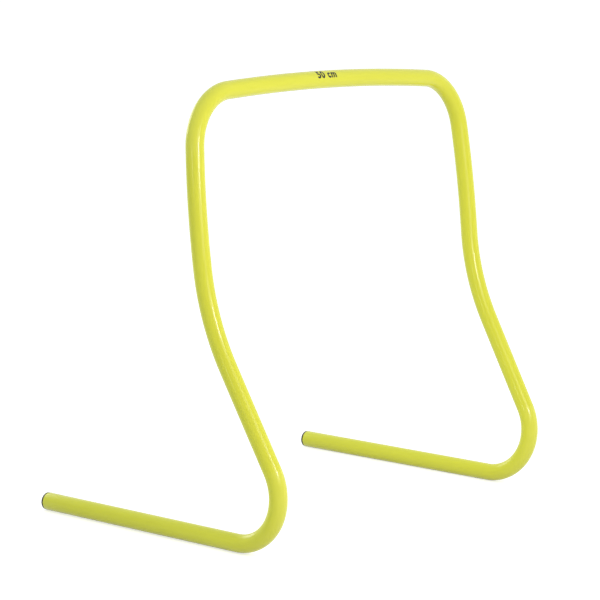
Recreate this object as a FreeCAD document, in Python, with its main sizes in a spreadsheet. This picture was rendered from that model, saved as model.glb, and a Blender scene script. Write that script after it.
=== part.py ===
import FreeCAD
import Part
import Sketcher
import math
import os

# A speed hurdle: one length of plastic tube, bent into a leaning hoop on two feet,
# with a push-in plug in the open end at each toe.
# X runs along the crossbar, the toes point to +Y, the heels to -Y, and Z is up.
# The origin is on the floor, in the middle of the hurdle's outline.
# Lengths are in millimetres and angles in degrees.

DRIVING_SIZES = (
    ("overall_height", 500.0, "floor to the top of the crossbar"),
    ("overall_width", 510.0, "across the outsides of the uprights"),
    ("overall_depth", 350.0, "backs of the heels to the faces of the plugs"),
    ("tube_diameter", 20.0, "outside of the tube"),
    ("tube_wall", 2.0, "wall of the tube"),
    ("crossbar_radius", 2900.0, "bow of the crossbar, at its middle line"),
    ("corner_radius", 65.0, "bend from crossbar to upright, at its middle line"),
    ("upright_radius", 950.0, "outward bow of the upright, at its middle line"),
    ("hoop_lean", 7.25, "hoop from vertical, seen from the side"),
    ("leg_tilt", 2.0, "leg from vertical, seen from the front"),
    ("knee_height", 245.0, "floor to where the lines of hoop and shank cross, seen from the side"),
    ("knee_radius", 275.0, "bend from upright to shank, at its middle line"),
    ("shank_angle", 30.0, "shank from vertical, seen square to the leg"),
    ("heel_radius", 57.0, "bend from shank to foot, at its middle line"),
    ("flange_thickness", 2.5, "plug's flange, outside the tube"),
    ("flange_inset", 0.2, "edge of the flange inside the tube's outside"),
    ("flange_rounding", 0.8, "rounded outer edge of the flange"),
    ("gate_diameter", 3.0, "moulding dimple in the middle of the flange"),
    ("gate_depth", 0.4, "depth of the moulding dimple"),
    ("stem_length", 18.0, "plug's hollow stem, inside the tube"),
    ("stem_wall", 1.6, "wall of the stem"),
    ("stem_chamfer", 0.6, "lead-in at the end of the stem"),
    ("rib_count", 3, "gripping ribs round the stem"),
    ("rib_width", 2.2, "one rib along the stem"),
    ("rib_land", 0.5, "flat top of a rib"),
    ("rib_height", 1.2, "rib above the stem"),
    ("rib_clearance", 0.1, "top of a rib to the tube's bore"),
)

# The hoop is the crossbar, the top corners and the uprights. It is flat and leans towards the toes,
# and a distance up along it is called its reach. Each leg, from knee to toe, is flat too,
# in a plane along Y that tilts in at the floor, and a distance up along that plane is called its rise.
DERIVED_SIZES = (
    ("tube_radius", "tube_diameter / 2", "middle line to the outside of the tube"),
    ("bore_radius", "tube_radius - tube_wall", "middle line to the inside of the tube"),
    ("crossbar_height", "overall_height - tube_radius", "middle of the crossbar above the floor"),
    ("crossbar_reach", "crossbar_height / cos(hoop_lean)", "middle of the crossbar up the hoop"),
    ("upright_lean", "atan(tan(hoop_lean) * cos(leg_tilt)) / 1deg", "foot of the upright in the leg"),
    ("upright_tilt", "atan(tan(leg_tilt) * cos(hoop_lean)) / 1deg", "foot of the upright in the hoop"),
    ("foot_rise", "tube_radius / cos(leg_tilt)", "middle of the foot up the leg's plane"),
    ("toe_y", "overall_depth / 2 - flange_thickness", "end of the tube"),
    ("heel_y", "tube_radius + heel_radius - overall_depth / 2", "centre of the heel bend"),
    ("heel_rise", "foot_rise + heel_radius", "centre of the heel bend up the leg's plane"),
    ("crossing_rise", "knee_height / cos(leg_tilt)", "crossing of hoop and shank up the leg's plane"),
    ("crossing_y", "heel_y - heel_radius / cos(shank_angle) + (crossing_rise - heel_rise) * tan(shank_angle)",
     "crossing of hoop and shank"),
    ("knee_reach", "knee_radius * tan((shank_angle - upright_lean) / 2)",
     "crossing to either end of the knee bend"),
    ("knee_top_y", "crossing_y + knee_reach * sin(upright_lean)", "upper end of the knee bend"),
    ("knee_top_rise", "crossing_rise + knee_reach * cos(upright_lean)",
     "upper end of the knee bend up the leg's plane"),
    ("knee_top", "knee_top_rise * cos(leg_tilt)", "upper end of the knee bend above the floor"),
    ("upright_x", "overall_width / 2 - tube_radius - upright_radius", "centre of the upright's bow"),
    ("upright_drop", "upright_radius * sin(upright_tilt)", "foot of the upright below the centre of its bow"),
    ("upright_reach", "knee_top / cos(hoop_lean) + upright_drop", "centre of the upright's bow up the hoop"),
    ("leg_floor_x", "upright_x + upright_radius * cos(upright_tilt) - knee_top * tan(leg_tilt)",
     "leg's plane at the floor"),
    ("foot_x", "leg_floor_x + tube_radius * tan(leg_tilt)", "middle of the foot from the hurdle's middle"),
    ("hoop_floor_y", "crossing_y - knee_height * tan(hoop_lean)", "hoop's plane at the floor"),
    ("crossbar_y", "hoop_floor_y + crossbar_height * tan(hoop_lean)", "middle of the crossbar"),
    ("flange_radius", "tube_radius - flange_inset", "outside of the plug's flange"),
    ("rib_radius", "bore_radius - rib_clearance", "top of a rib"),
    ("stem_radius", "rib_radius - rib_height", "outside of the stem"),
    ("rib_pitch", "stem_length / (rib_count + 1)", "rib to rib"),
)

X_AXIS = FreeCAD.Vector(1, 0, 0)
SKETCH_NORMAL = FreeCAD.Vector(0, 0, 1)
RIGHT_ANGLE = 90

# Numbers that a sketch gives to the ends and centre of a line or an arc, and to its own origin and axes.
START_INDEX = 1
END_INDEX = 2
CENTRE_INDEX = 3
ORIGIN_INDEX = -1
VERTICAL_AXIS_INDEX = -2


def fill_sheet(doc):
    """Driving sizes as plain numbers, and below them the sizes that follow from them."""
    sheet = doc.addObject("Spreadsheet::Sheet", "Sizes")
    for row, (alias, value, note) in enumerate(DRIVING_SIZES + DERIVED_SIZES, start=1):
        derived = isinstance(value, str)
        sheet.set(f"A{row}", note)
        sheet.set(f"B{row}", f"={value}" if derived else str(value))
        sheet.setAlias(f"B{row}", alias)
    doc.recompute()
    return sheet


def origin_feature(body, role):
    """Plane or axis of a body's own origin."""
    return next(feature for feature in body.Origin.OriginFeatures if feature.Role == role)


def new_sketch(body, name, plane):
    sketch = body.newObject("Sketcher::SketchObject", name)
    sketch.AttachmentSupport = [(origin_feature(body, plane), "")]
    sketch.MapMode = "FlatFace"
    return sketch


def turn_plane(sketch, axis, angle_formula, offset_formula):
    """Moves a sketch along its plane's normal, and turns it about one of the plane's own axes."""
    keeps_its_axis = FreeCAD.Rotation(axis, 1.0)
    sketch.AttachmentOffset = FreeCAD.Placement(FreeCAD.Vector(), keeps_its_axis)
    sketch.setExpression("AttachmentOffset.Rotation.Angle", angle_formula)
    sketch.setExpression("AttachmentOffset.Base.z", offset_formula)


def line(sketch, start, end):
    return sketch.addGeometry(Part.LineSegment(FreeCAD.Vector(*start), FreeCAD.Vector(*end)))


def arc(sketch, centre, radius, first_angle, last_angle):
    """Anticlockwise arc, with its angles in degrees."""
    circle = Part.Circle(FreeCAD.Vector(*centre), SKETCH_NORMAL, radius)
    return sketch.addGeometry(Part.ArcOfCircle(circle, math.radians(first_angle), math.radians(last_angle)))


def size(sketch, name, formula, kind, *where):
    """Sizing constraint whose value is a formula of the sheet's cells."""
    start_value = sketch.evalExpression(formula)
    if kind == "Angle":
        start_value = math.radians(start_value)
    index = sketch.addConstraint(Sketcher.Constraint(kind, *where, start_value))
    sketch.renameConstraint(index, name)
    sketch.setExpression(f"Constraints.{name}", formula)


def join(sketch, kind, *where):
    sketch.addConstraint(Sketcher.Constraint(kind, *where))


def ring(sketch, x_formula, y_formula, outer_formula, inner_formula):
    """Two circles about one centre: the cut face of a tube."""
    centre = FreeCAD.Vector(sketch.evalExpression(x_formula), sketch.evalExpression(y_formula))
    outer_radius = sketch.evalExpression(outer_formula)
    inner_radius = sketch.evalExpression(inner_formula)
    outer = sketch.addGeometry(Part.Circle(centre, SKETCH_NORMAL, outer_radius))
    inner = sketch.addGeometry(Part.Circle(centre, SKETCH_NORMAL, inner_radius))
    size(sketch, "centre_x", x_formula, "DistanceX", outer, CENTRE_INDEX)
    size(sketch, "centre_y", y_formula, "DistanceY", outer, CENTRE_INDEX)
    join(sketch, "Coincident", inner, CENTRE_INDEX, outer, CENTRE_INDEX)
    size(sketch, "outer_radius", outer_formula, "Radius", outer)
    size(sketch, "inner_radius", inner_formula, "Radius", inner)


def disc(sketch, radius_formula):
    """One circle about the sketch's own centre."""
    radius = sketch.evalExpression(radius_formula)
    circle = sketch.addGeometry(Part.Circle(FreeCAD.Vector(), SKETCH_NORMAL, radius))
    join(sketch, "Coincident", circle, CENTRE_INDEX, ORIGIN_INDEX, START_INDEX)
    size(sketch, "radius", radius_formula, "Radius", circle)


def touching_centre(first_centre, first_radius, second_centre, second_radius, radius):
    """Centre of an arc that touches two wider arcs from inside, right of the line between their centres."""
    between = second_centre - first_centre
    from_first = first_radius - radius
    from_second = second_radius - radius
    along = (from_first ** 2 - from_second ** 2 + between.Length ** 2) / (2 * between.Length)
    aside = math.sqrt(from_first ** 2 - along ** 2)
    direction = between / between.Length
    return first_centre + along * direction + aside * FreeCAD.Vector(direction.y, -direction.x)


def bearing(start, end):
    """Angle of the line between two points of a sketch, in degrees."""
    return math.degrees(math.atan2(end.y - start.y, end.x - start.x))


def draw_half_hoop(body, cell):
    """Middle line of half the crossbar, one top corner and one upright, in the leaning plane of the hoop."""
    path = new_sketch(body, "half_hoop_path", "XZ_Plane")
    turn_plane(path, -X_AXIS, "Sizes.hoop_lean", "-Sizes.hoop_floor_y")
    bow_centre = FreeCAD.Vector(0, cell("crossbar_reach") - cell("crossbar_radius"))
    upright_centre = FreeCAD.Vector(cell("upright_x"), cell("upright_reach"))
    corner_centre = touching_centre(bow_centre, cell("crossbar_radius"),
                                    upright_centre, cell("upright_radius"), cell("corner_radius"))
    corner_start = bearing(bow_centre, corner_centre)
    corner_end = bearing(upright_centre, corner_centre)
    bow = arc(path, bow_centre, cell("crossbar_radius"), corner_start, RIGHT_ANGLE)
    corner = arc(path, corner_centre, cell("corner_radius"), corner_end, corner_start)
    upright = arc(path, upright_centre, cell("upright_radius"), -cell("upright_tilt"), corner_end)
    join(path, "PointOnObject", bow, CENTRE_INDEX, VERTICAL_AXIS_INDEX)
    join(path, "PointOnObject", bow, END_INDEX, VERTICAL_AXIS_INDEX)
    join(path, "Tangent", bow, START_INDEX, corner, END_INDEX)
    join(path, "Tangent", corner, START_INDEX, upright, END_INDEX)
    size(path, "crossbar_reach", "Sizes.crossbar_reach", "DistanceY", bow, END_INDEX)
    size(path, "crossbar_radius", "Sizes.crossbar_radius", "Radius", bow)
    size(path, "corner_radius", "Sizes.corner_radius", "Radius", corner)
    size(path, "upright_radius", "Sizes.upright_radius", "Radius", upright)
    size(path, "upright_x", "Sizes.upright_x", "DistanceX", upright, CENTRE_INDEX)
    size(path, "upright_reach", "Sizes.upright_reach", "DistanceY", upright, CENTRE_INDEX)
    size(path, "upright_drop", "Sizes.upright_drop", "DistanceY", upright, START_INDEX, upright, CENTRE_INDEX)
    return path


def draw_leg(body, cell):
    """Middle line of one leg, in its tilted plane: foot, heel, shank and knee."""
    path = new_sketch(body, "leg_path", "YZ_Plane")
    turn_plane(path, X_AXIS, "Sizes.leg_tilt", "Sizes.leg_floor_x")
    shank_angle = cell("shank_angle")
    upright_lean = cell("upright_lean")
    along_shank = FreeCAD.Vector(math.sin(math.radians(shank_angle)), math.cos(math.radians(shank_angle)))
    along_upright = FreeCAD.Vector(math.sin(math.radians(upright_lean)), math.cos(math.radians(upright_lean)))
    toe = FreeCAD.Vector(cell("toe_y"), cell("foot_rise"))
    foot_end = FreeCAD.Vector(cell("heel_y"), cell("foot_rise"))
    heel_centre = FreeCAD.Vector(cell("heel_y"), cell("heel_rise"))
    shank_start = heel_centre + cell("heel_radius") * FreeCAD.Vector(-along_shank.y, along_shank.x)
    crossing = FreeCAD.Vector(cell("crossing_y"), cell("crossing_rise"))
    knee_start = crossing - cell("knee_reach") * along_shank
    knee_top = crossing + cell("knee_reach") * along_upright
    knee_centre = knee_top + cell("knee_radius") * FreeCAD.Vector(-along_upright.y, along_upright.x)

    foot = line(path, toe, foot_end)
    heel = arc(path, heel_centre, cell("heel_radius"), 2 * RIGHT_ANGLE - shank_angle, 3 * RIGHT_ANGLE)
    shank = line(path, shank_start, knee_start)
    knee = arc(path, knee_centre, cell("knee_radius"), -shank_angle, -upright_lean)

    join(path, "Horizontal", foot)
    join(path, "Tangent", foot, END_INDEX, heel, END_INDEX)
    join(path, "Tangent", heel, START_INDEX, shank, START_INDEX)
    join(path, "Tangent", shank, END_INDEX, knee, START_INDEX)
    size(path, "toe_y", "Sizes.toe_y", "DistanceX", foot, START_INDEX)
    size(path, "foot_rise", "Sizes.foot_rise", "DistanceY", foot, START_INDEX)
    size(path, "heel_y", "Sizes.heel_y", "DistanceX", heel, CENTRE_INDEX)
    size(path, "heel_radius", "Sizes.heel_radius", "Radius", heel)
    size(path, "shank_slope", f"{RIGHT_ANGLE} - Sizes.shank_angle", "Angle", shank)
    size(path, "knee_radius", "Sizes.knee_radius", "Radius", knee)
    size(path, "knee_top_y", "Sizes.knee_top_y", "DistanceX", knee, END_INDEX)
    size(path, "knee_top_rise", "Sizes.knee_top_rise", "DistanceY", knee, END_INDEX)
    return path


def sweep(body, name, section, path):
    """Pipe of a section along the whole of a path."""
    pipe = body.newObject("PartDesign::AdditivePipe", name)
    pipe.Profile = section
    pipe.Spine = (path, [f"Edge{number}" for number in range(1, len(path.Shape.Edges) + 1)])
    return pipe


def make_tube(doc, cell):
    """The bent tube: half the hoop and one leg, mirrored about the hurdle's middle plane."""
    body = doc.addObject("PartDesign::Body", "hurdle_tube")
    hoop_path = draw_half_hoop(body, cell)
    crossbar_section = new_sketch(body, "crossbar_section", "YZ_Plane")
    ring(crossbar_section, "Sizes.crossbar_y", "Sizes.crossbar_height",
         "Sizes.tube_radius", "Sizes.bore_radius")
    doc.recompute()
    half_hoop = sweep(body, "half_hoop", crossbar_section, hoop_path)

    leg_path = draw_leg(body, cell)
    toe_section = new_sketch(body, "toe_section", "XZ_Plane")
    toe_section.setExpression("AttachmentOffset.Base.z", "-Sizes.toe_y")
    ring(toe_section, "Sizes.foot_x", "Sizes.tube_radius", "Sizes.tube_radius", "Sizes.bore_radius")
    doc.recompute()
    leg = sweep(body, "leg", toe_section, leg_path)
    doc.recompute()

    other_side = body.newObject("PartDesign::Mirrored", "other_side")
    other_side.Originals = [half_hoop, leg]
    other_side.MirrorPlane = (origin_feature(body, "YZ_Plane"), [""])
    body.Tip = other_side
    return body


def round_edges(body, base, name, kind, level, radius):
    """Circular edges of a feature at one level along the plug, as a new rounding or chamfer."""
    nearly = 1e-4
    names = []
    for number, edge in enumerate(base.Shape.Edges, start=1):
        is_circle = isinstance(edge.Curve, Part.Circle) and abs(edge.Curve.Radius - radius) < nearly
        if is_circle and abs(edge.Curve.Center.z - level) < nearly:
            names.append(f"Edge{number}")
    feature = body.newObject(kind, name)
    feature.Base = (base, names)
    return feature


def draw_rib(body, cell):
    """Half section of the rib nearest the flange: a flat top, and a slope towards the end of the stem."""
    sketch = new_sketch(body, "rib_section", "XZ_Plane")
    root = cell("stem_radius") - cell("stem_wall") / 2
    back = -cell("rib_pitch")
    front = back - cell("rib_width")
    corners = (
        (root, back),
        (root, front),
        (cell("stem_radius"), front),
        (cell("rib_radius"), back - cell("rib_land")),
        (cell("rib_radius"), back),
    )
    sides = [line(sketch, start, end) for start, end in zip(corners, corners[1:] + corners[:1])]
    root_side, front_side, slope, land, back_side = sides
    for side, following in zip(sides, sides[1:] + sides[:1]):
        join(sketch, "Coincident", side, END_INDEX, following, START_INDEX)
    join(sketch, "Vertical", root_side)
    join(sketch, "Horizontal", front_side)
    join(sketch, "Vertical", land)
    join(sketch, "Horizontal", back_side)
    size(sketch, "root_radius", "Sizes.stem_radius - Sizes.stem_wall / 2",
         "DistanceX", root_side, START_INDEX)
    size(sketch, "back_level", "-Sizes.rib_pitch", "DistanceY", root_side, START_INDEX)
    size(sketch, "rib_width", "Sizes.rib_width", "DistanceY", root_side, END_INDEX, root_side, START_INDEX)
    size(sketch, "stem_radius", "Sizes.stem_radius", "DistanceX", slope, START_INDEX)
    size(sketch, "rib_radius", "Sizes.rib_radius", "DistanceX", land, END_INDEX)
    size(sketch, "rib_land", "Sizes.rib_land", "DistanceY", land, START_INDEX, land, END_INDEX)
    return sketch


def make_plug(doc, cell, label, side):
    """Push-in plug: a flange on the tube's end, and a hollow ribbed stem inside its bore."""
    body = doc.addObject("PartDesign::Body", label)
    flange_outline = new_sketch(body, "flange_outline", "XY_Plane")
    disc(flange_outline, "Sizes.flange_radius")
    flange = body.newObject("PartDesign::Pad", "flange")
    flange.Profile = flange_outline
    flange.setExpression("Length", "Sizes.flange_thickness")
    doc.recompute()
    rounding = round_edges(body, flange, "flange_rounding", "PartDesign::Fillet",
                           cell("flange_thickness"), cell("flange_radius"))
    rounding.setExpression("Radius", "Sizes.flange_rounding")

    gate_outline = new_sketch(body, "gate_outline", "XY_Plane")
    gate_outline.setExpression("AttachmentOffset.Base.z", "Sizes.flange_thickness")
    disc(gate_outline, "Sizes.gate_diameter / 2")
    gate = body.newObject("PartDesign::Pocket", "gate_dimple")
    gate.Profile = gate_outline
    gate.setExpression("Length", "Sizes.gate_depth")

    stem_outline = new_sketch(body, "stem_outline", "XY_Plane")
    ring(stem_outline, "0", "0", "Sizes.stem_radius", "Sizes.stem_radius - Sizes.stem_wall")
    stem = body.newObject("PartDesign::Pad", "stem")
    stem.Profile = stem_outline
    stem.Reversed = True
    stem.setExpression("Length", "Sizes.stem_length")
    doc.recompute()
    lead_in = round_edges(body, stem, "stem_lead_in", "PartDesign::Chamfer",
                          -cell("stem_length"), cell("stem_radius"))
    lead_in.setExpression("Size", "Sizes.stem_chamfer")

    rib = body.newObject("PartDesign::Revolution", "rib")
    rib.Profile = draw_rib(body, cell)
    rib.ReferenceAxis = (origin_feature(body, "Z_Axis"), [""])
    doc.recompute()
    ribs = body.newObject("PartDesign::LinearPattern", "ribs")
    ribs.Originals = [rib]
    ribs.Direction = (origin_feature(body, "Z_Axis"), [""])
    ribs.Reversed = True
    ribs.setExpression("Length", "(Sizes.rib_count - 1) * Sizes.rib_pitch")
    ribs.setExpression("Occurrences", "Sizes.rib_count")
    body.Tip = ribs

    body.Placement = FreeCAD.Placement(FreeCAD.Vector(), FreeCAD.Rotation(X_AXIS, -RIGHT_ANGLE))
    body.setExpression("Placement.Base.x", f"{side} * Sizes.foot_x")
    body.setExpression("Placement.Base.y", "Sizes.toe_y")
    body.setExpression("Placement.Base.z", "Sizes.tube_radius")
    return body


def check(doc, pieces):
    """Stops before anything is written if a feature failed or a piece isn't one sound solid."""
    for item in doc.Objects:
        if "Invalid" in item.State or "Error" in item.State:
            raise RuntimeError(f"{item.Label} failed: {item.State}")
    for piece in pieces:
        shape = piece.Shape
        if shape.isNull() or not shape.isValid() or len(shape.Solids) != 1:
            raise RuntimeError(f"{piece.Label} isn't one sound solid")


document = FreeCAD.newDocument("SpeedHurdle")
sizes = fill_sheet(document)
hurdle = [
    make_tube(document, sizes.get),
    make_plug(document, sizes.get, "left_end_plug", -1),
    make_plug(document, sizes.get, "right_end_plug", 1),
]
document.recompute()
check(document, hurdle)
os.makedirs("parts", exist_ok=True)
for piece in hurdle:
    piece.Shape.exportStep(os.path.join("parts", f"{piece.Label}.step"))
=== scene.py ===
import math

import bmesh
import bpy
from mathutils import Matrix, Quaternion, Vector
from mathutils.geometry import intersect_sphere_sphere_2d


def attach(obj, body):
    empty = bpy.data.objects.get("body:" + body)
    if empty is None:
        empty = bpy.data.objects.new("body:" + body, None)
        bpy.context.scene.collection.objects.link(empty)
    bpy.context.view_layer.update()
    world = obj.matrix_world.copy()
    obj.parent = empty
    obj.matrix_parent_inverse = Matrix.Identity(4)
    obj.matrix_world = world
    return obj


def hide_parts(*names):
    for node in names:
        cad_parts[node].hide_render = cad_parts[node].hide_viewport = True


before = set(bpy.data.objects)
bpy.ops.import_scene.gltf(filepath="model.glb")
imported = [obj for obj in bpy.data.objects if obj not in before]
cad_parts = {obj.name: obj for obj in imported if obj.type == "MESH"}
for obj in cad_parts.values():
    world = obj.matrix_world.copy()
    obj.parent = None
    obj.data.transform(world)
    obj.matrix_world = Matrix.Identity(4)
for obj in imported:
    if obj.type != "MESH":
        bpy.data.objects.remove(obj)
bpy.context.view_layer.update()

# The hurdle itself: one length of extruded PVC tube, dyed fluorescent yellow right through. It is warmed
# and bent over formers at two top corners, two long knees and two heels, and its crossbar and uprights
# keep a slight outward bow. Half of it is bent here, from the crossbar's middle to a toe, and mirrored.
overall_height = 0.500
overall_width = 0.510
overall_depth = 0.350
tube_radius = 0.010
tube_wall = 0.002
crossbar_radius = 2.900
corner_radius = 0.065
upright_radius = 0.950
knee_radius = 0.275
heel_radius = 0.057
knee_height = 0.245
hoop_lean = math.radians(7.25)
leg_tilt = math.radians(2.0)
shank_angle = math.radians(30.0)
flange_thickness = 0.0025
points_round_tube = 64
crossbar_steps = 10
corner_steps = 36
upright_steps = 10
knee_steps = 14
heel_steps = 44
straight_steps = 4
cut_edge_rounding = 0.0004
cut_edge_segments = 3
tube_smooth_angle = math.radians(40)
nearly = 1e-5

to_right = Vector((1, 0, 0))
to_toe = Vector((0, 1, 0))
up_hoop = Vector((0, math.sin(hoop_lean), math.cos(hoop_lean)))
up_leg = Vector((math.sin(leg_tilt), 0, math.cos(leg_tilt)))
down_upright = -Vector((math.tan(leg_tilt), math.tan(hoop_lean), 1)).normalized()
down_shank = -(math.sin(shank_angle) * to_toe + math.cos(shank_angle) * up_leg)

crossbar_height = overall_height - tube_radius
toe_y = overall_depth / 2 - flange_thickness
heel_y = tube_radius + heel_radius - overall_depth / 2
knee_above_heel = (knee_height - tube_radius) / math.cos(leg_tilt) - heel_radius
knee_y = heel_y - heel_radius / math.cos(shank_angle) + knee_above_heel * math.tan(shank_angle)
crossbar_y = knee_y + (crossbar_height - knee_height) * math.tan(hoop_lean)
crossbar_middle = Vector((0, crossbar_y, crossbar_height))
knee_set_back = knee_radius * math.tan(down_upright.angle(down_shank) / 2)
heel_set_back = heel_radius * math.tan(down_shank.angle(to_toe) / 2)
knee_top = knee_height - knee_set_back * down_upright.z
shank_length = (tube_radius - knee_height) / down_shank.z - knee_set_back - heel_set_back

# Across and up the flat hoop, the corner's round touches the long rounds of the crossbar and the upright.
upright_drop = upright_radius * math.sin(down_upright.angle(-up_hoop))
upright_centre = Vector((overall_width / 2 - tube_radius - upright_radius,
                         knee_top / math.cos(hoop_lean) + upright_drop))
crossbar_centre = Vector((0, crossbar_height / math.cos(hoop_lean) - crossbar_radius))
corner_centre = max(
    intersect_sphere_sphere_2d(crossbar_centre, crossbar_radius - corner_radius,
                               upright_centre, upright_radius - corner_radius),
    key=lambda place: place.x)


def heading_at_corner(centre):
    """Heading of the tube where the corner's round touches a long one."""
    outward = (corner_centre - centre).normalized()
    return outward.y * to_right - outward.x * up_hoop


bpy.ops.object.select_all(action="DESELECT")
bpy.ops.mesh.primitive_circle_add(vertices=points_round_tube, radius=tube_radius,
                                  location=crossbar_middle, rotation=(0, math.radians(90), 0))
bpy.ops.object.transform_apply(location=True, rotation=True, scale=True)
tube = bpy.context.object
tube.name = "bent_tube"
tube.data.attributes.new("unbent", "FLOAT_VECTOR", "POINT")
tube.data.attributes.new("stretch", "FLOAT", "POINT")
for point, unbent in zip(tube.data.vertices, tube.data.attributes["unbent"].data):
    from_axis = point.co - crossbar_middle
    unbent.vector = (from_axis.y, from_axis.z, 0)


def note_ring(travelled, stretch_at):
    """Keeps on the ring just made its place on the unbent tube, and how far bending stretched it."""
    mesh = bmesh.from_edit_mesh(tube.data)
    unbent = mesh.verts.layers.float_vector["unbent"]
    stretch = mesh.verts.layers.float["stretch"]
    for point in mesh.verts:
        if point.select:
            point[unbent] = (point[unbent].x, point[unbent].y, travelled)
            point[stretch] = stretch_at(point.co)


def run_straight(start, heading, length, travelled):
    """Draws the open end of the tube straight on."""
    for step in range(straight_steps):
        bpy.ops.mesh.extrude_region_move(
            TRANSFORM_OT_translate={"value": heading * length / straight_steps})
        note_ring(travelled + length * (step + 1) / straight_steps, lambda place: 0.0)
    return start + heading * length, travelled + length


def bend_to(start, heading, new_heading, radius, steps, travelled):
    """Bends the open end of the tube round a former until it heads the new way."""
    angle = heading.angle(new_heading)
    inward = (new_heading - heading * heading.dot(new_heading)).normalized()
    centre = start + inward * radius
    axis = heading.cross(inward)
    for step in range(steps):
        bpy.ops.mesh.spin(steps=1, angle=-angle / steps, center=centre, axis=axis)
        note_ring(travelled + radius * angle * (step + 1) / steps,
                  lambda place: (place - centre).cross(axis).length / radius - 1)
    return centre - Quaternion(axis, angle) @ inward * radius, travelled + radius * angle


bpy.ops.object.mode_set(mode="EDIT")
bpy.ops.mesh.select_all(action="SELECT")
into_corner = heading_at_corner(crossbar_centre)
out_of_corner = heading_at_corner(upright_centre)
end, travelled = bend_to(crossbar_middle, to_right, into_corner, crossbar_radius, crossbar_steps, 0)
end, travelled = bend_to(end, into_corner, out_of_corner, corner_radius, corner_steps, travelled)
end, travelled = bend_to(end, out_of_corner, down_upright, upright_radius, upright_steps, travelled)
end, travelled = bend_to(end, down_upright, down_shank, knee_radius, knee_steps, travelled)
end, travelled = run_straight(end, down_shank, shank_length, travelled)
end, travelled = bend_to(end, down_shank, to_toe, heel_radius, heel_steps, travelled)
toe, travelled = run_straight(end, to_toe, toe_y - end.y, travelled)
bpy.ops.object.mode_set(mode="OBJECT")

bpy.ops.object.modifier_add(type="MIRROR")
bpy.ops.object.modifier_apply(modifier=tube.modifiers[0].name)
for point, unbent in zip(tube.data.vertices, tube.data.attributes["unbent"].data):
    if point.co.x < 0:
        unbent.vector.z = -unbent.vector.z
bpy.ops.object.mode_set(mode="EDIT")
bpy.ops.mesh.select_all(action="SELECT")
bpy.ops.mesh.normals_make_consistent(inside=False)
bpy.ops.object.mode_set(mode="OBJECT")
bpy.ops.object.modifier_add(type="SOLIDIFY")
tube.modifiers[0].thickness = tube_wall
tube.modifiers[0].offset = -1
bpy.ops.object.modifier_apply(modifier=tube.modifiers[0].name)

bpy.ops.object.mode_set(mode="EDIT")
bpy.ops.mesh.select_mode(type="EDGE")
bpy.ops.mesh.select_all(action="DESELECT")
mesh = bmesh.from_edit_mesh(tube.data)
for edge in mesh.edges:
    on_rim = [abs(point.co.y - toe_y) < nearly
              and math.hypot(abs(point.co.x) - toe.x, point.co.z - toe.z) > tube_radius - tube_wall / 2
              for point in edge.verts]
    edge.select_set(all(on_rim))
bmesh.update_edit_mesh(tube.data)
bpy.ops.mesh.bevel(offset=cut_edge_rounding, segments=cut_edge_segments)
bpy.ops.object.mode_set(mode="OBJECT")
bpy.ops.object.shade_smooth_by_angle(angle=tube_smooth_angle)


def new_finish(piece, name):
    """Gives a piece a new material, and returns its node tree and shader."""
    finish = bpy.data.materials.new(name)
    finish.use_nodes = True
    piece.data.materials.clear()
    piece.data.materials.append(finish)
    return finish.node_tree, finish.node_tree.nodes["Principled BSDF"]


def add_node(tree, kind, settings, **inputs):
    """Adds a node. An input goes by its name, or by its place as i0 or i1, and is a value or a socket."""
    node = tree.nodes.new(kind)
    for name, value in settings.items():
        setattr(node, name, value)
    for name, value in inputs.items():
        socket = node.inputs[int(name[1:])] if name[1:].isdigit() else node.inputs[name]
        if isinstance(value, bpy.types.NodeSocket):
            tree.links.new(value, socket)
        else:
            socket.default_value = value
    return node


def maths(tree, operation, *values):
    """One step of arithmetic on numbers and sockets."""
    inputs = {f"i{number}": value for number, value in enumerate(values)}
    return add_node(tree, "ShaderNodeMath", {"operation": operation}, **inputs).outputs[0]


def blend(tree, share, first, second):
    """Mixes two colours, with a share of the second."""
    return add_node(tree, "ShaderNodeMix", {"data_type": "RGBA"}, i0=share, i6=first, i7=second).outputs[2]


def ramp(tree, value, start, full, top=1.0):
    """Climbs from nought at the start to its top at the full value."""
    node = add_node(tree, "ShaderNodeMapRange", {}, Value=value)
    node.inputs["From Min"].default_value = start
    node.inputs["From Max"].default_value = full
    node.inputs["To Max"].default_value = top
    return node.outputs[0]


def drawn_out(tree, place, scale):
    """Coordinates that draw a pattern out along the axis with the small scale."""
    return add_node(tree, "ShaderNodeMapping", {}, Vector=place, Scale=scale).outputs[0]


def noise(tree, place, scale, detail, roughness=0.5):
    """Cloudy pattern, from nought to one."""
    return add_node(tree, "ShaderNodeTexNoise", {}, Vector=place, Scale=scale, Detail=detail,
                    Roughness=roughness).outputs["Fac"]


tree, shader = new_finish(tube, "fluorescent_yellow_pvc")
deep_yellow = (0.716, 0.706, 0.030, 1)
bright_yellow = (0.840, 0.833, 0.062, 1)
stretched_yellow = (0.820, 0.812, 0.105, 1)
scuffed_yellow = (0.595, 0.592, 0.190, 1)
base_roughness = 0.17
tube_specular = 0.36

# The pigment runs in faint streaks along the tube.
pigment_draw = (1, 1, 0.08)
unbent_place = add_node(tree, "ShaderNodeAttribute", {"attribute_name": "unbent"}).outputs["Vector"]
pigment = noise(tree, drawn_out(tree, unbent_place, pigment_draw), scale=70.0, detail=5.0, roughness=0.65)
yellow = blend(tree, pigment, deep_yellow, bright_yellow)

# Bending thins the outside of each bend a little and leaves it paler and less glossy.
most_paled = 0.55
paled_roughness = 0.08
stretch = add_node(tree, "ShaderNodeAttribute", {"attribute_name": "stretch"}).outputs["Fac"]
pulled = ramp(tree, stretch, start=0.0, full=tube_radius / heel_radius, top=most_paled)
yellow = blend(tree, pulled, yellow, stretched_yellow)

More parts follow.
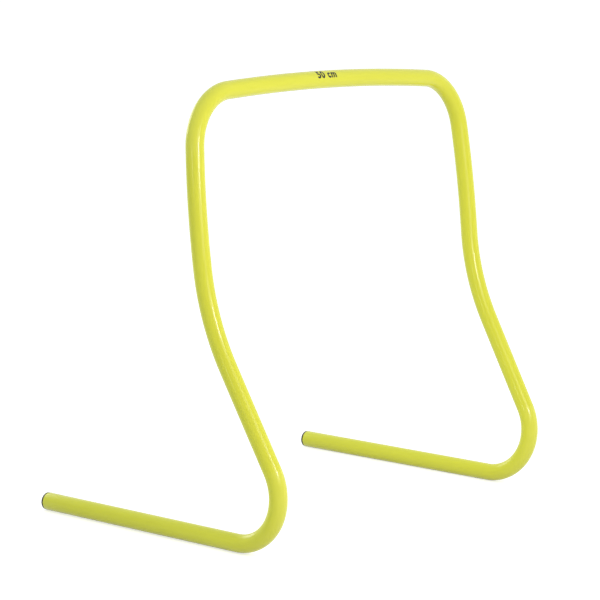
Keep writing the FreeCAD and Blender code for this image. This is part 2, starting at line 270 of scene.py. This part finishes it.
# The extruder's die leaves faint lines along the tube, and cooling leaves a faint dimpled skin.
die_line_draw = (1, 1, 0.006)
die_line_roughness = 0.04
relief_strength = 0.05
relief_depth = 0.0002
die_lines = noise(tree, drawn_out(tree, unbent_place, die_line_draw), scale=1300.0, detail=2.0)
skin = noise(tree, unbent_place, scale=420.0, detail=2.0)
relief = maths(tree, "ADD", die_lines, skin)
bump = add_node(tree, "ShaderNodeBump", {}, Height=relief, Strength=relief_strength, Distance=relief_depth)
tree.links.new(bump.outputs[0], shader.inputs["Normal"])

# Grass and hard floors rub short marks into the underside of the feet and heels.
scuffs_start = 0.006
scuffs_full = 0.0005
rub_draw = (1, 0.12, 1)
scuff_roughness = 0.35
on_tube = add_node(tree, "ShaderNodeTexCoord", {}).outputs["Object"]
height = add_node(tree, "ShaderNodeSeparateXYZ", {}, Vector=on_tube).outputs["Z"]
underside = ramp(tree, height, start=scuffs_start, full=scuffs_full)
rubs = noise(tree, drawn_out(tree, on_tube, rub_draw), scale=900.0, detail=4.0)
scuffs = maths(tree, "MULTIPLY", underside, ramp(tree, rubs, start=0.52, full=0.66))
yellow = blend(tree, scuffs, yellow, scuffed_yellow)
tree.links.new(yellow, shader.inputs["Base Color"])

roughness = maths(tree, "MULTIPLY_ADD", die_lines, die_line_roughness,
                  base_roughness - die_line_roughness / 2)
roughness = maths(tree, "MULTIPLY_ADD", pulled, paled_roughness, roughness)
roughness = maths(tree, "MULTIPLY_ADD", scuffs, scuff_roughness, roughness)
tree.links.new(roughness, shader.inputs["Roughness"])
shader.inputs["Specular IOR Level"].default_value = tube_specular

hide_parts("hurdle_tube")
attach(tube, "root")

# The end plugs: moulded black polyethylene, pushed into the tube's open ends. Each has a flange with a
# rounded edge and the dimple of its moulding gate, and a hollow stem with three ribs that grip the bore.
# One is drawn ring by ring at the right toe and copied to the left.
flange_inset = 0.0002
flange_radius = tube_radius - flange_inset
flange_rounding = 0.0008
flange_segments = 8
gate_radius = 0.0015
gate_depth = 0.0004
stem_length = 0.018
stem_wall = 0.0016
stem_chamfer = 0.0006
rib_count = 3
rib_width = 0.0022
rib_land = 0.0005
rib_height = 0.0012
rib_clearance = 0.0001
rib_radius = tube_radius - tube_wall - rib_clearance
stem_radius = rib_radius - rib_height
rib_pitch = stem_length / (rib_count + 1)
points_round_plug = 64
plug_smooth_angle = math.radians(32)

bpy.ops.object.select_all(action="DESELECT")
bpy.ops.mesh.primitive_circle_add(
    vertices=points_round_plug, radius=gate_radius, rotation=(math.radians(-90), 0, 0),
    location=toe + to_toe * (flange_thickness - gate_depth))
bpy.ops.object.transform_apply(location=True, rotation=True, scale=True)
right_plug = bpy.context.object
right_plug.name = "right_plug"
bpy.ops.object.mode_set(mode="EDIT")
bpy.ops.mesh.select_all(action="SELECT")


def ring_place(point):
    """Level of a point of the plug past the tube's end, and its distance from the plug's axis."""
    return point.y - toe.y, math.hypot(point.x - toe.x, point.z - toe.z)


def draw_ring(level, radius):
    """Draws the open edge of the plug on, to a new level and radius."""
    edge = bmesh.from_edit_mesh(right_plug.data)
    old_level, old_radius = ring_place(next(point.co for point in edge.verts if point.select))
    bpy.ops.mesh.extrude_region_move(TRANSFORM_OT_translate={"value": to_toe * (level - old_level)})
    growth = radius / old_radius
    bpy.ops.transform.resize(value=(growth, 1, growth), center_override=toe + to_toe * level)


draw_ring(flange_thickness, gate_radius)
draw_ring(flange_thickness, flange_radius)
draw_ring(0, flange_radius)
draw_ring(0, stem_radius)
for rib in range(1, rib_count + 1):
    back = -rib * rib_pitch
    draw_ring(back, stem_radius)
    draw_ring(back, rib_radius)
    draw_ring(back - rib_land, rib_radius)
    draw_ring(back - rib_width, stem_radius)
draw_ring(stem_chamfer - stem_length, stem_radius)
draw_ring(-stem_length, stem_radius - stem_chamfer)
draw_ring(-stem_length, stem_radius - stem_wall)
draw_ring(0, stem_radius - stem_wall)
bpy.ops.mesh.select_all(action="SELECT")
bpy.ops.mesh.fill_holes(sides=0)
bpy.ops.mesh.select_all(action="SELECT")
bpy.ops.mesh.normals_make_consistent(inside=False)
bpy.ops.mesh.select_mode(type="EDGE")
bpy.ops.mesh.select_all(action="DESELECT")
mesh = bmesh.from_edit_mesh(right_plug.data)
for edge in mesh.edges:
    places = [ring_place(point.co) for point in edge.verts]
    edge.select_set(all(level > flange_thickness - nearly and radius > flange_radius - nearly
                        for level, radius in places))
bmesh.update_edit_mesh(right_plug.data)
bpy.ops.mesh.bevel(offset=flange_rounding, segments=flange_segments)
bpy.ops.object.mode_set(mode="OBJECT")
bpy.ops.object.shade_smooth_by_angle(angle=plug_smooth_angle)
right_plug.data.attributes.new("from_axis", "FLOAT", "POINT")
for point, from_axis in zip(right_plug.data.vertices, right_plug.data.attributes["from_axis"].data):
    from_axis.value = ring_place(point.co)[1]

tree, shader = new_finish(right_plug, "black_polyethylene")
deep_black = (0.008, 0.008, 0.009, 1)
grey_black = (0.020, 0.020, 0.021, 1)
rubbed_black = (0.040, 0.040, 0.039, 1)
plug_specular = 0.3
on_plug = add_node(tree, "ShaderNodeTexCoord", {}).outputs["Object"]
flow = noise(tree, on_plug, scale=260.0, detail=3.0)
black = blend(tree, flow, deep_black, grey_black)

# The rounded edge of the flange is rubbed greyer.
rim_start = flange_radius - 0.8 * flange_rounding
from_axis = add_node(tree, "ShaderNodeAttribute", {"attribute_name": "from_axis"}).outputs["Fac"]
at_rim = ramp(tree, from_axis, start=rim_start, full=flange_radius)
rubs = noise(tree, on_plug, scale=1500.0, detail=4.0)
black = blend(tree, maths(tree, "MULTIPLY", at_rim, rubs), black, rubbed_black)
tree.links.new(black, shader.inputs["Base Color"])

# The mould's fine grain leaves the plug satin.
grain_strength = 0.25
grain_depth = 0.0001
grain_roughness = 0.18
least_roughness = 0.42
grain = noise(tree, on_plug, scale=4200.0, detail=2.0)
bump = add_node(tree, "ShaderNodeBump", {}, Height=grain, Strength=grain_strength, Distance=grain_depth)
tree.links.new(bump.outputs[0], shader.inputs["Normal"])
roughness = maths(tree, "MULTIPLY_ADD", grain, grain_roughness, least_roughness)
tree.links.new(roughness, shader.inputs["Roughness"])
shader.inputs["Specular IOR Level"].default_value = plug_specular

bpy.ops.object.duplicate(linked=False)
left_plug = bpy.context.object
left_plug.name = "left_plug"
left_plug.data.name = "left_plug"
bpy.ops.transform.translate(value=(-2 * toe.x, 0, 0))
bpy.ops.object.transform_apply(location=True, rotation=True, scale=True)
for plug, node in ((right_plug, "right_end_plug"), (left_plug, "left_end_plug")):
    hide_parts(node)
    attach(plug, "root")

# The height mark: plain figures printed in black ink on the upper front of the crossbar, near its middle.
# They are cut from flat lettering, sliced across so that they can follow the round of the tube, and wrapped
# on it as a thin film.
mark_x = -0.0185
mark_angle = math.radians(31)
figure_size = 0.0125
stroke_weight = 0.00045
letter_spacing = 1.12
slice_height = 0.0004
merge_distance = 2e-5
clear_of_tube = 1.2 * tube_radius
ink_lift = 0.00006
ink_film = 0.0001
ink_smooth_angle = math.radians(32)
front = Vector((0, -math.cos(hoop_lean), math.sin(hoop_lean)))
bow_centre = crossbar_middle - up_hoop * crossbar_radius
mark_turn = mark_x / crossbar_radius
outward = math.sin(mark_turn) * to_right + math.cos(mark_turn) * up_hoop
mark_up = math.cos(mark_angle) * outward - math.sin(mark_angle) * front
mark_face = math.cos(mark_angle) * front + math.sin(mark_angle) * outward
mark_along = mark_up.cross(mark_face)

bpy.ops.object.select_all(action="DESELECT")
bpy.ops.object.text_add()
mark = bpy.context.object
mark.name = "height_mark"
mark.data.body = "50 cm"
mark.data.size = figure_size
mark.data.offset = stroke_weight
mark.data.space_character = letter_spacing
mark.data.align_x = "CENTER"
mark.data.align_y = "CENTER"
bpy.ops.object.convert(target="MESH")
mark = bpy.context.object
bpy.ops.object.mode_set(mode="EDIT")
bpy.ops.mesh.select_all(action="SELECT")
bpy.ops.mesh.remove_doubles(threshold=merge_distance)
slices = math.ceil(figure_size / slice_height)
for cut in range(-slices // 2, slices // 2 + 1):
    bpy.ops.mesh.select_all(action="SELECT")
    bpy.ops.mesh.bisect(plane_co=(0, cut * slice_height, 0), plane_no=(0, 1, 0))
bpy.ops.mesh.select_all(action="SELECT")
bpy.ops.mesh.remove_doubles(threshold=merge_distance)
bpy.ops.object.mode_set(mode="OBJECT")
mark.rotation_euler = Matrix((mark_along, mark_up, mark_face)).transposed().to_euler()
mark.location = bow_centre + outward * crossbar_radius + mark_face * clear_of_tube
bpy.ops.object.modifier_add(type="SHRINKWRAP")
wrap = mark.modifiers[0]
wrap.target = tube
wrap.wrap_method = "PROJECT"
wrap.use_project_z = True
wrap.use_negative_direction = True
wrap.use_positive_direction = False
wrap.offset = ink_lift
bpy.ops.object.modifier_apply(modifier=wrap.name)
bpy.ops.object.transform_apply(location=True, rotation=True, scale=True)
bpy.ops.object.modifier_add(type="SOLIDIFY")
mark.modifiers[0].thickness = ink_film
mark.modifiers[0].offset = -1
bpy.ops.object.modifier_apply(modifier=mark.modifiers[0].name)
bpy.ops.object.mode_set(mode="EDIT")
bpy.ops.mesh.select_all(action="SELECT")
bpy.ops.mesh.normals_make_consistent(inside=False)
bpy.ops.object.mode_set(mode="OBJECT")
bpy.ops.object.shade_smooth_by_angle(angle=ink_smooth_angle)

tree, shader = new_finish(mark, "black_ink")
dense_ink = (0.008, 0.010, 0.010, 1)
thin_ink = (0.026, 0.030, 0.016, 1)
dense_roughness = 0.35
thin_roughness = 0.60
ink_specular = 0.3
on_mark = add_node(tree, "ShaderNodeTexCoord", {}).outputs["Object"]
cover = noise(tree, on_mark, scale=900.0, detail=4.0)
tree.links.new(blend(tree, cover, dense_ink, thin_ink), shader.inputs["Base Color"])
roughness = maths(tree, "MULTIPLY_ADD", cover, thin_roughness - dense_roughness, dense_roughness)
tree.links.new(roughness, shader.inputs["Roughness"])
shader.inputs["Specular IOR Level"].default_value = ink_specular
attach(mark, "root")

# The floor is a plain pale sheet, white to the eye, on which the hurdle's shadow still falls. Round it is
# a small studio, brighter behind the hurdle than in front: a small and a broad soft box to the right of
# the camera, a far one to its left, and broad panels on the hurdle's right and behind it.
floor_size = 60
floor_grey = (0.65, 0.65, 0.65, 1)
floor_roughness = 0.9
floor_glow = 0.63
white = (1, 1, 1, 1)
bpy.ops.object.select_all(action="DESELECT")
bpy.ops.mesh.primitive_plane_add(size=floor_size)
floor = bpy.context.object
floor.name = "floor"


def seen_directly(tree):
    """One for rays that show a surface to the eye, straight or mirrored, and nought for its light."""
    rays = add_node(tree, "ShaderNodeLightPath", {}).outputs
    seen = maths(tree, "MAXIMUM", rays["Is Camera Ray"], rays["Is Glossy Ray"])
    return maths(tree, "MAXIMUM", seen, rays["Is Transmission Ray"])


tree, shader = new_finish(floor, "pale_floor")
shader.inputs["Base Color"].default_value = floor_grey
shader.inputs["Roughness"].default_value = floor_roughness
shader.inputs["Emission Color"].default_value = white
glow = maths(tree, "MULTIPLY", seen_directly(tree), floor_glow)
tree.links.new(glow, shader.inputs["Emission Strength"])

room_light = 0.74
room_slope = (0.05, 0.33, -0.10)
room_tint = (0.908, 1.0, 0.945, 1)
world = bpy.data.worlds.new("studio")
bpy.context.scene.world = world
world.use_nodes = True
tree = world.node_tree
background = tree.nodes["Background"]
seen = seen_directly(tree)
way = add_node(tree, "ShaderNodeTexCoord", {}).outputs["Generated"]
slope = add_node(tree, "ShaderNodeVectorMath", {"operation": "DOT_PRODUCT"}, i0=way, i1=room_slope)
strength = add_node(tree, "ShaderNodeMapRange", {}, Value=seen)
tree.links.new(maths(tree, "ADD", slope.outputs["Value"], room_light), strength.inputs["To Min"])
tree.links.new(strength.outputs[0], background.inputs["Strength"])
tree.links.new(blend(tree, seen, room_tint, white), background.inputs["Color"])

hurdle_centre = Vector((0, 0, overall_height / 2))
for name, azimuth, elevation, distance, width, height, power, tint in (
    ("small_softbox", -13, 19.5, 1.3, 0.12, 0.20, 3.8, (0.85, 0.80, 1.0)),
    ("broad_softbox", -18, 20, 1.3, 0.7, 0.7, 3.3, (1.0, 0.900, 0.900)),
    ("far_softbox", -85, 10.5, 3.2, 0.12, 0.25, 1.9, (1.0, 1.0, 1.0)),
    ("right_panel", 60, 15, 1.6, 1.4, 1.4, 7.2, (1.0, 0.975, 0.960)),
    ("back_panel", 180, 18, 2.5, 1.4, 0.9, 10.0, (1.0, 0.930, 0.900)),
):
    turn, lift = math.radians(azimuth), math.radians(elevation)
    outward = Vector((math.sin(turn) * math.cos(lift), -math.cos(turn) * math.cos(lift), math.sin(lift)))
    bpy.ops.object.light_add(type="AREA", location=hurdle_centre + outward * distance)
    lamp = bpy.context.object
    lamp.name = name
    lamp.rotation_mode = "QUATERNION"
    lamp.rotation_quaternion = outward.to_track_quat("Z", "Y")
    lamp.data.shape = "RECTANGLE"
    lamp.data.size = width
    lamp.data.size_y = height
    lamp.data.energy = power
    lamp.data.color = tint
    # Mirrored in the crossbar, the right panel would fade it to white where it is seen end on.
    lamp.visible_glossy = name != "right_panel"

# The camera stands to the left of the hurdle's front, a little above its crossbar, with a long lens.
camera_place = Vector((-2.13656, -1.71485, 0.65017))
camera_aim = Vector((0.00079, 0.00071, 0.23383))
camera_roll = math.radians(0.953)
camera_lens = 144.44
bpy.ops.object.camera_add(location=camera_place)
camera = bpy.context.object
camera.name = "camera"
camera.rotation_mode = "QUATERNION"
camera.rotation_quaternion = (
    (camera_aim - camera_place).to_track_quat("-Z", "Y") @ Quaternion((0, 0, 1), camera_roll))
camera.data.lens = camera_lens
bpy.context.scene.camera = camera
bpy.context.scene.view_settings.view_transform = "Standard"
